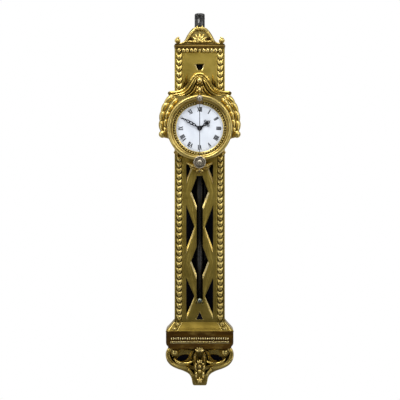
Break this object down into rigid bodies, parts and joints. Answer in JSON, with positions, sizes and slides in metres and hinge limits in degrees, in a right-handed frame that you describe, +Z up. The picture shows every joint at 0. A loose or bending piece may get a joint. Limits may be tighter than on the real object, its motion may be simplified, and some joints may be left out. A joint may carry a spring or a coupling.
{
  "type": "pendulum wall clock",
  "caption": "Slim pierced giltwood wall clock with a round enamel dial, a short pendulum hung in front of it and a falling weight rod wound by lifting its knob.",
  "frame": {"origin": "on the back face of the back board, level with the centre of the dial, on the centre plane", "axes": "+X to the right as seen from the front, +Y towards the wall, +Z up; the dial faces -Y"},
  "size_m": [0.246, 0.1425, 1.124],
  "materials": {
    "gilt_wood": "water gilding over red bole on carved wood, worn and toned",
    "dark_gilt_wood": "darker toned gilding on carved wood",
    "bole_wood": "dark red-brown bole, waxed",
    "case_wood": "plain oiled wood",
    "iron": "blackened iron",
    "steel": "polished steel",
    "brass": "lacquered brass",
    "enamel": "fired white enamel on copper",
    "pewter": "tarnished silvered brass",
    "black_steel": "blacked steel"
  },
  "bodies": {
    "case": {"front_panel": "gilt_wood", "side_left": "gilt_wood", "side_right": "gilt_wood", "crest": "gilt_wood", "top_leaf_band": "gilt_wood", "husk_upper_left": "gilt_wood", "husk_upper_right": "gilt_wood", "husk_lower_left": "gilt_wood", "husk_lower_right": "gilt_wood", "drapery_arch": "gilt_wood", "shell_knot": "gilt_wood", "swag_left": "gilt_wood", "swag_right": "gilt_wood", "bow_ornament": "gilt_wood", "bezel": "gilt_wood", "pearl_ring": "gilt_wood", "bracket_drop": "gilt_wood", "plinth_band": "dark_gilt_wood", "bracket": "dark_gilt_wood", "head_board": "dark_gilt_wood", "cornice": "bole_wood", "plinth": "bole_wood", "back_board": "case_wood", "upper_guide": "case_wood", "lower_guide": "case_wood", "stop_block": "case_wood", "hanging_plate": "iron", "back_plate": "brass", "front_plate": "brass", "rack_cock": "brass", "dial": "enamel"},
    "weight_rod": {"weight_tube": "iron", "tube_cap": "black_steel", "rack": "steel", "ball_knob": "steel"},
    "great_arbor": {"great_arbor": "steel", "ratchet_wheel": "steel"},
    "great_wheel": {"great_wheel": "brass", "click_spring": "steel"},
    "click": {"click": "steel"},
    "centre_arbor": {"centre_arbor": "steel", "centre_wheel": "brass"},
    "third_arbor": {"third_arbor": "steel", "third_wheel": "brass"},
    "escape_arbor": {"escape_arbor": "steel", "escape_wheel": "brass"},
    "pendulum": {"pallet_arbor": "steel", "pallets": "steel", "pendulum_hub": "gilt_wood", "pendulum_rod": "steel"},
    "bob": {"pendulum_bob": "pewter"},
    "nut": {"rating_nut": "brass"},
    "minute_work": {"cannon_pinion": "steel", "minute_hand": "black_steel", "hand_collet": "brass"},
    "minute_wheel": {"minute_wheel": "brass"},
    "hour_work": {"hour_wheel": "brass", "hour_hand": "black_steel"}
  },
  "joints": [
    {"name": "weight_rod_slide", "type": "slide", "parent": "case", "child": "weight_rod", "axis": [0, 0, 1], "range_m": [0, 0.36]},
    {"name": "great_arbor_turn", "type": "hinge", "parent": "case", "child": "great_arbor", "pos_m": [0.0275, -0.06, -0.02033], "axis": [0, 1, 0], "range_deg": [0, 2292.5]},
    {"name": "great_wheel_turn", "type": "hinge", "parent": "case", "child": "great_wheel", "pos_m": [0.0275, -0.06, -0.02033], "axis": [0, 1, 0], "continuous": true},
    {"name": "click_lift", "type": "hinge", "parent": "great_wheel", "child": "click", "pos_m": [0.0185, -0.06, -0.00183], "axis": [0, 1, 0], "range_deg": [-6, 0], "stiffness_Nm_per_rad": 0.003, "springref_deg": 5.73},
    {"name": "centre_turn", "type": "hinge", "parent": "case", "child": "centre_arbor", "pos_m": [0, -0.07, 0], "axis": [0, 1, 0], "continuous": true},
    {"name": "third_turn", "type": "hinge", "parent": "case", "child": "third_arbor", "pos_m": [-0.00724, -0.07, 0.03117], "axis": [0, 1, 0], "continuous": true},
    {"name": "escape_turn", "type": "hinge", "parent": "case", "child": "escape_arbor", "pos_m": [0, -0.07, 0.0616], "axis": [0, 1, 0], "continuous": true},
    {"name": "pendulum_swing", "type": "hinge", "parent": "case", "child": "pendulum", "pos_m": [0, -0.09, 0.0851], "axis": [0, 1, 0], "range_deg": [-4, 4]},
    {"name": "bob_adjust", "type": "slide", "parent": "pendulum", "child": "bob", "axis": [0, 0, 1], "range_m": [-0.0025, 0.0025]},
    {"name": "nut_turn", "type": "hinge", "parent": "bob", "child": "nut", "pos_m": [0, -0.136, -0.1226], "axis": [0, 0, 1], "range_deg": [-1801, 1801]},
    {"name": "minute_turn", "type": "hinge", "parent": "case", "child": "minute_work", "pos_m": [0, -0.1, 0], "axis": [0, 1, 0], "continuous": true},
    {"name": "minute_wheel_turn", "type": "hinge", "parent": "case", "child": "minute_wheel", "pos_m": [-0.01358, -0.094, -0.01358], "axis": [0, 1, 0], "continuous": true},
    {"name": "hour_turn", "type": "hinge", "parent": "case", "child": "hour_work", "pos_m": [0, -0.1, 0], "axis": [0, 1, 0], "continuous": true}
  ],
  "couplings": [
    {"joint": "great_arbor_turn", "follows": "weight_rod_slide", "rad_per_m": 111.11},
    {"joint": "great_wheel_turn", "follows": "centre_turn", "ratio": -0.2},
    {"joint": "third_turn", "follows": "centre_turn", "ratio": -9},
    {"joint": "escape_turn", "follows": "centre_turn", "ratio": 94.5},
    {"joint": "nut_turn", "follows": "bob_adjust", "rad_per_m": 12566},
    {"joint": "minute_wheel_turn", "follows": "minute_turn", "ratio": -0.33333},
    {"joint": "hour_turn", "follows": "minute_turn", "ratio": 0.083333}
  ]
}
